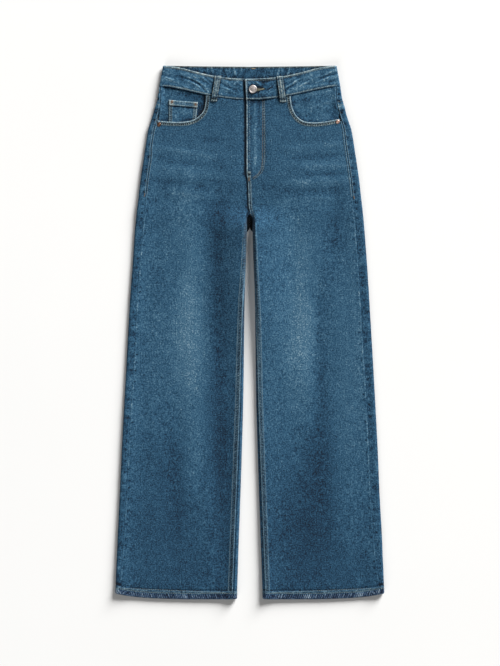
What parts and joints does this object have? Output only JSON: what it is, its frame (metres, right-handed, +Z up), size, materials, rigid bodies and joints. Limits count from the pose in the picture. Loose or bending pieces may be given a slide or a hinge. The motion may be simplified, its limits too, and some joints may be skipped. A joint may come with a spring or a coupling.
{
  "type": "wide leg jeans",
  "caption": "High-waisted wide leg denim jeans laid flat with the front up, with a zip fly and one waist button, hand pockets, coin pocket, belt loops, yokes, patch pockets and stitched hems.",
  "frame": {"origin": "middle of the footprint, on the surface that the jeans lie on", "axes": "+X to the wearer's left, +Y up the garment towards the waist, +Z up out of the surface, through the front"},
  "size_m": [0.538, 1.0674, 0.0136],
  "materials": {
    "denim": "mid-blue cotton twill, washed, faded on the thighs",
    "button_metal": "matt nickel",
    "rivet_metal": "worn copper",
    "zip_tape": "woven tape, hidden"
  },
  "bodies": {
    "root": {"front_right": "denim", "front_left": "denim", "back_right": "denim", "back_left": "denim", "back_yoke_right": "denim", "back_yoke_left": "denim", "waistband": "denim", "pocket_facing_right": "denim", "pocket_facing_left": "denim", "coin_pocket": "denim", "back_pocket_right": "denim", "back_pocket_left": "denim", "belt_loop_front_right": "denim", "belt_loop_front_left": "denim", "belt_loop_back_right": "denim", "belt_loop_back_centre": "denim", "belt_loop_back_left": "denim", "button": "button_metal", "rivet_pocket_right": "rivet_metal", "rivet_pocket_left": "rivet_metal", "rivet_coin_outer": "rivet_metal", "rivet_coin_inner": "rivet_metal", "zip": "zip_tape"}
  },
  "joints": []
}
